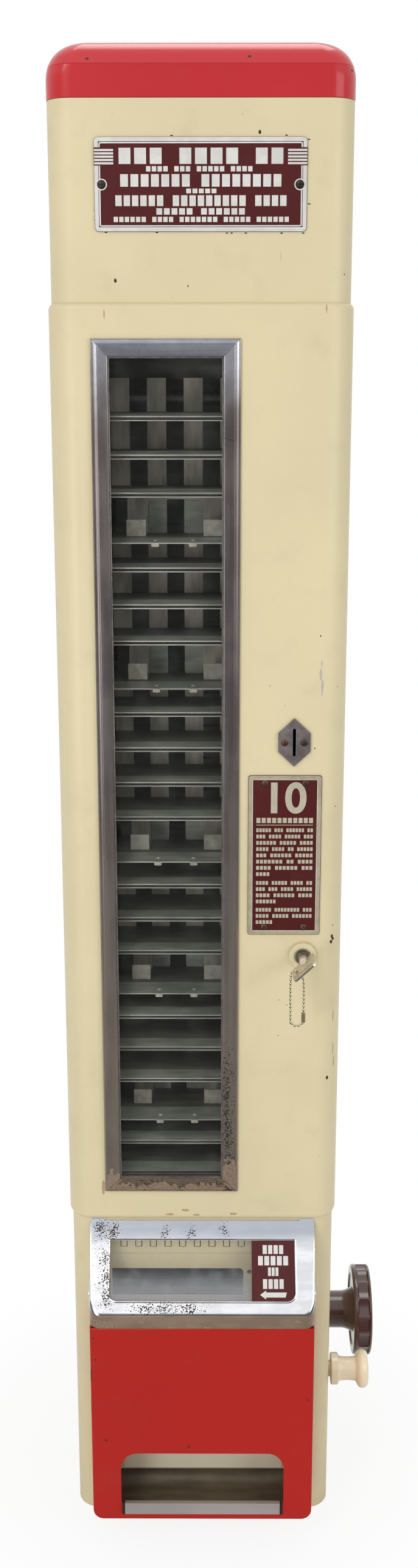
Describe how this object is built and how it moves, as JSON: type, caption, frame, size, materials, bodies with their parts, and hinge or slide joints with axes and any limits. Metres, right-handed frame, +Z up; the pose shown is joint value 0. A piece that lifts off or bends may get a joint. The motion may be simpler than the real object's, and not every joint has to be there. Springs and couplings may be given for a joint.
{
  "type": "coin operated vending machine",
  "caption": "Tall coin operated vending machine: sheet steel cabinet, hinged door with window, stack of trays on a chain, hand wheel, pull handle and delivery chute.",
  "frame": {"origin": "middle of the base's underside", "axes": "+Z up the cabinet, the front with the door faces -Y, the hand wheel is at +X"},
  "size_m": [0.2706, 0.2533, 1.2188],
  "materials": {
    "cream_paint": "aged gloss enamel, chipped",
    "cap_paint": "gloss enamel",
    "red_paint": "satin enamel",
    "plate_paint": "satin, with bare metal lines",
    "hood_chrome": "bright, pitted",
    "frame_chrome": "dull, rust at its foot",
    "tray_steel": "galvanised, dull",
    "steel": "plated, worn",
    "brass": "machined",
    "bakelite": "moulded, glossy",
    "cream_plastic": "moulded, aged",
    "window_glass": "clear"
  },
  "bodies": {
    "cabinet": {"cabinet_shell": "cream_paint", "delivery_panel": "cream_paint", "back_frame": "cream_paint", "back_panel": "cream_paint", "base_plate": "steel", "top_cap": "cap_paint", "nameplate": "plate_paint", "cabinet_hinge_leaf": "cream_paint", "hinge_pin": "steel", "strike": "steel", "selection_hood": "hood_chrome", "selection_glass": "window_glass", "selection_sign": "plate_paint", "chute_housing": "red_paint", "delivery_tray": "tray_steel", "left_side_frame": "tray_steel", "right_side_frame": "tray_steel", "wheel_bush": "brass", "pivot_pin": "steel", "return_spring": "steel", "coin_channel": "tray_steel", "coin_works": "steel", "cash_box": "red_paint", "cash_shelf": "tray_steel"},
    "door": {"door_shell": "cream_paint", "door_hinge_leaf": "cream_paint", "window_frame": "frame_chrome", "window_glass": "window_glass", "coin_slot_plate": "frame_chrome", "instruction_plate": "plate_paint", "lock_body": "cream_paint"},
    "lock_plug": {"lock_plug": "steel", "lock_cam": "steel"},
    "key": {"key": "steel"},
    "key_chain": {"key_chain": "steel"},
    "drive": {"hand_wheel": "bakelite", "drive_shaft": "steel", "lower_turn_trays": "tray_steel"},
    "upper_turn": {"upper_shaft": "steel", "upper_turn_trays": "tray_steel"},
    "front_run": {"front_trays_1": "tray_steel", "front_trays_2": "tray_steel", "front_trays_3": "tray_steel", "front_trays_4": "tray_steel", "front_trays_5": "tray_steel", "front_trays_6": "tray_steel", "front_trays_7": "tray_steel"},
    "rear_run": {"rear_trays_lower": "tray_steel", "rear_trays_upper": "tray_steel"},
    "handle": {"pull_knob": "cream_plastic", "handle_lever": "steel"},
    "ejector": {"ejector": "tray_steel"}
  },
  "joints": [
    {"name": "door_swing", "type": "hinge", "parent": "cabinet", "child": "door", "pos_m": [-0.1139, -0.0709, 0.6658], "axis": [0, 0, -1], "range_deg": [0, 105]},
    {"name": "lock_turn", "type": "hinge", "parent": "door", "child": "lock_plug", "pos_m": [0.082, -0.1, 0.5303], "axis": [0, -1, 0], "range_deg": [0, 90], "deforming": ["key_chain"]},
    {"name": "key_slide", "type": "slide", "parent": "lock_plug", "child": "key", "axis": [0, -1, 0], "range_m": [0, 0.03]},
    {"name": "chain_swing", "type": "hinge", "parent": "key", "child": "key_chain", "pos_m": [0.07664, -0.1323, 0.5258], "axis": [0, -1, 0], "range_deg": [-90, 0]},
    {"name": "wheel_turn", "type": "hinge", "parent": "cabinet", "child": "drive", "pos_m": [0.05, -0.0034, 0.1386], "axis": [1, 0, 0], "range_deg": [-38.7, 51.3]},
    {"name": "upper_turn", "type": "hinge", "parent": "cabinet", "child": "upper_turn", "pos_m": [-0.0213, -0.0034, 0.97003], "axis": [1, 0, 0], "range_deg": [-38.71, 51.31]},
    {"name": "front_travel", "type": "slide", "parent": "cabinet", "child": "front_run", "axis": [0, 0, -1], "range_m": [-0.01234, 0.01635]},
    {"name": "rear_travel", "type": "slide", "parent": "cabinet", "child": "rear_run", "axis": [0, 0, 1], "range_m": [-0.01234, 0.01635]},
    {"name": "handle_pull", "type": "hinge", "parent": "cabinet", "child": "handle", "pos_m": [0.105, 0.055, 0.11], "axis": [1, 0, 0], "range_deg": [0, 24], "stiffness_Nm_per_rad": 1, "springref_deg": -45.84},
    {"name": "ejector_travel", "type": "slide", "parent": "cabinet", "child": "ejector", "axis": [0, -1, 0], "range_m": [0, 0.0261]}
  ],
  "couplings": [
    {"joint": "chain_swing", "follows": "lock_turn", "ratio": -1},
    {"joint": "upper_turn", "follows": "wheel_turn", "ratio": 1},
    {"joint": "front_travel", "follows": "wheel_turn", "m_per_rad": 0.018252},
    {"joint": "rear_travel", "follows": "wheel_turn", "m_per_rad": 0.018252},
    {"joint": "ejector_travel", "follows": "handle_pull", "m_per_rad": 0.06207}
  ]
}
